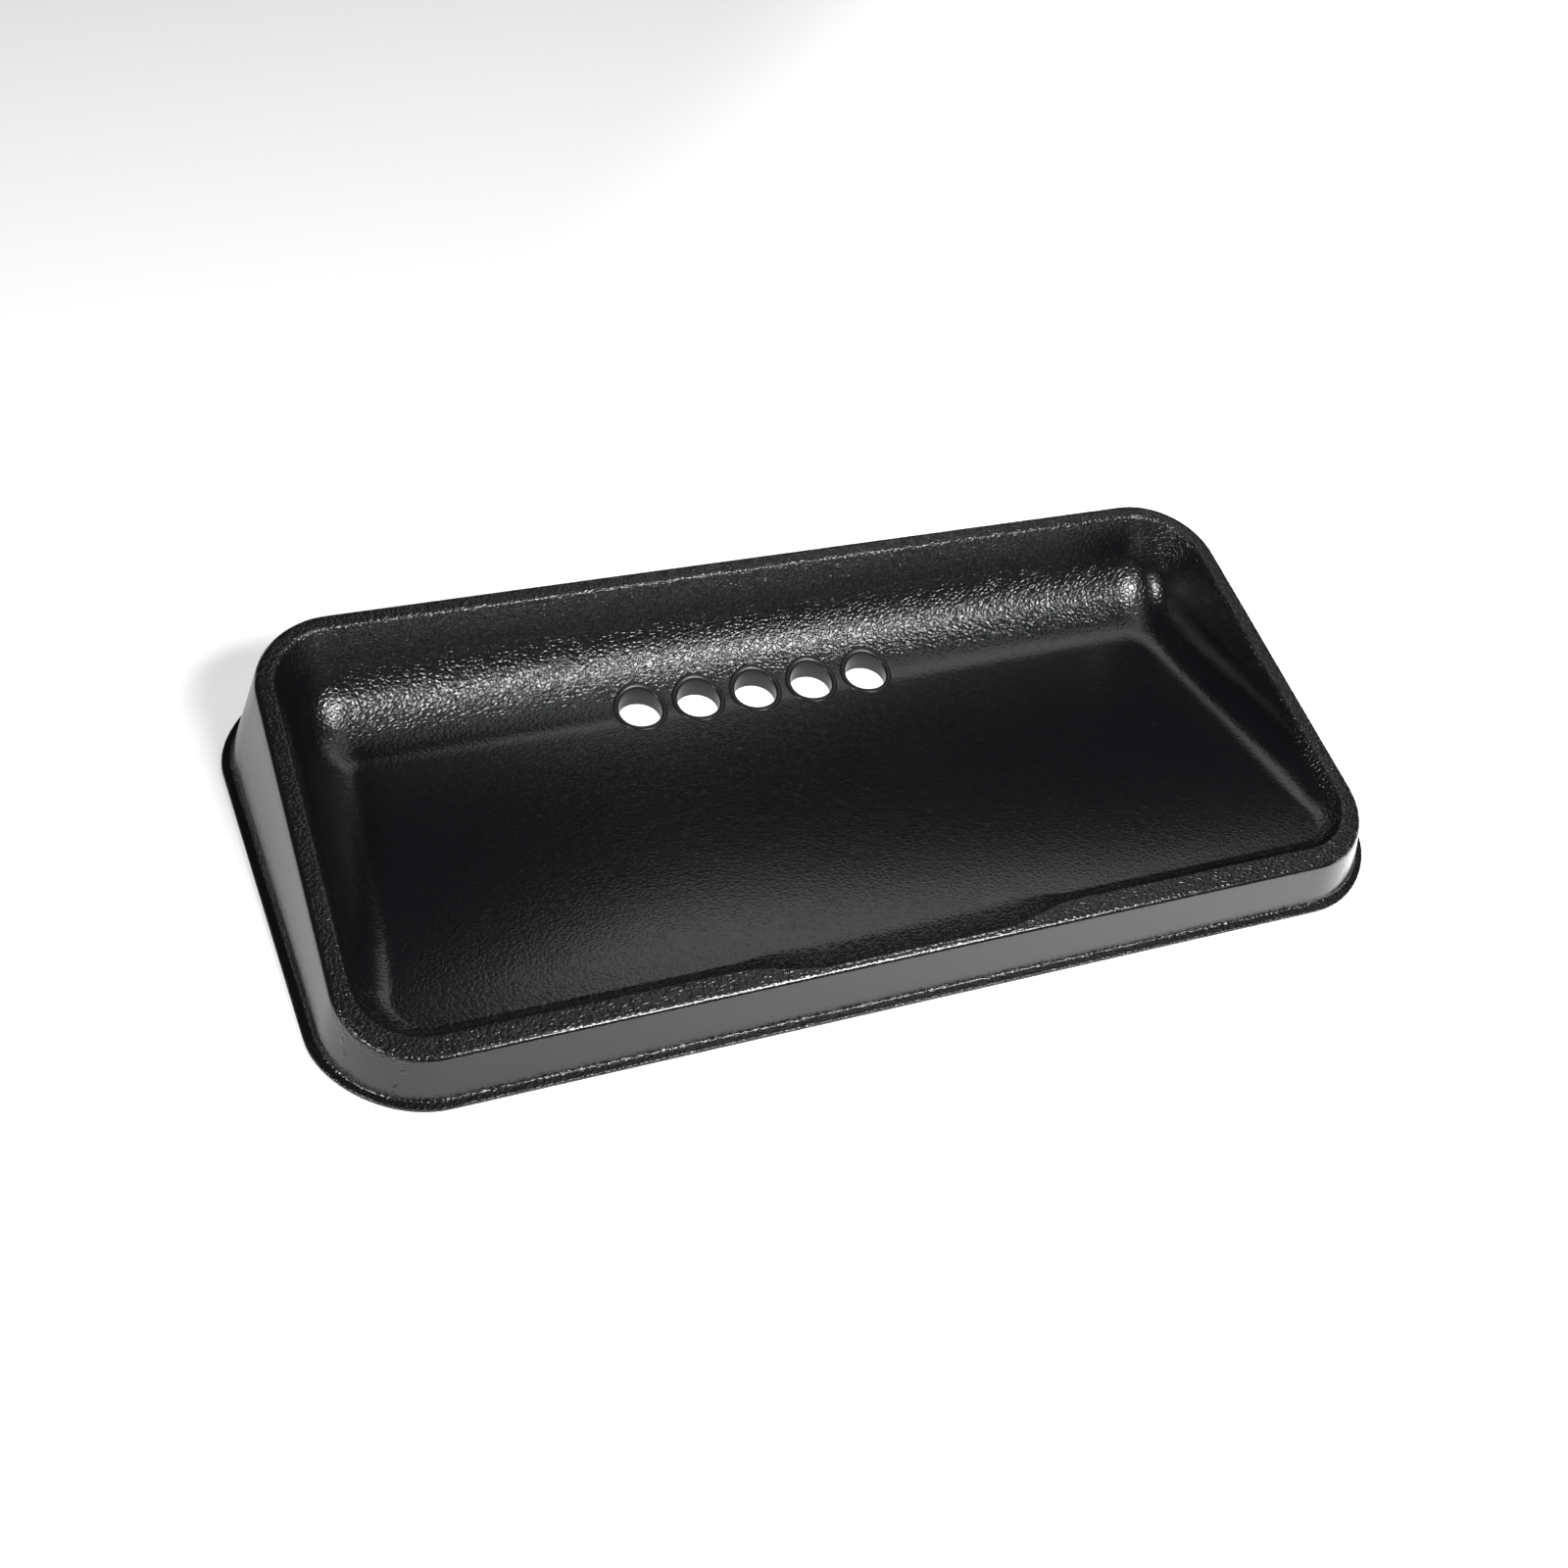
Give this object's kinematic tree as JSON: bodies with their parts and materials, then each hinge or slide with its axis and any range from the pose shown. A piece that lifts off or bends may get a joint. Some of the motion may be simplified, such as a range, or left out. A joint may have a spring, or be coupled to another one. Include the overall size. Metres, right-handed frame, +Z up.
{
  "type": "coin tray",
  "caption": "Low black coin tray with a sloping rim, a dished floor, a scooped front edge and a row of drain holes, on a closed base with rubber feet.",
  "frame": {"origin": "on the ground, under the middle of the base", "axes": "+X to the right along the long side, +Y to the high back, +Z up; the scooped front faces -Y"},
  "size_m": [0.3428, 0.167, 0.037],
  "materials": {
    "formed_skin": "black formed plastic skin with a fine leather-like grain, satin, washed smooth where the sheet stretched",
    "base_sheet": "flat black plastic sheet, sawn edges, fine matt",
    "bush_plastic": "black moulded bush, smooth satin gloss",
    "foot_rubber": "dark grey rubber, matt"
  },
  "bodies": {
    "root": {"tray_shell": "formed_skin", "base_plate": "base_sheet", "drain_bush_1": "bush_plastic", "drain_bush_2": "bush_plastic", "drain_bush_3": "bush_plastic", "drain_bush_4": "bush_plastic", "drain_bush_5": "bush_plastic", "foot_front_left": "foot_rubber", "foot_front_right": "foot_rubber", "foot_back_left": "foot_rubber", "foot_back_right": "foot_rubber"}
  },
  "joints": []
}
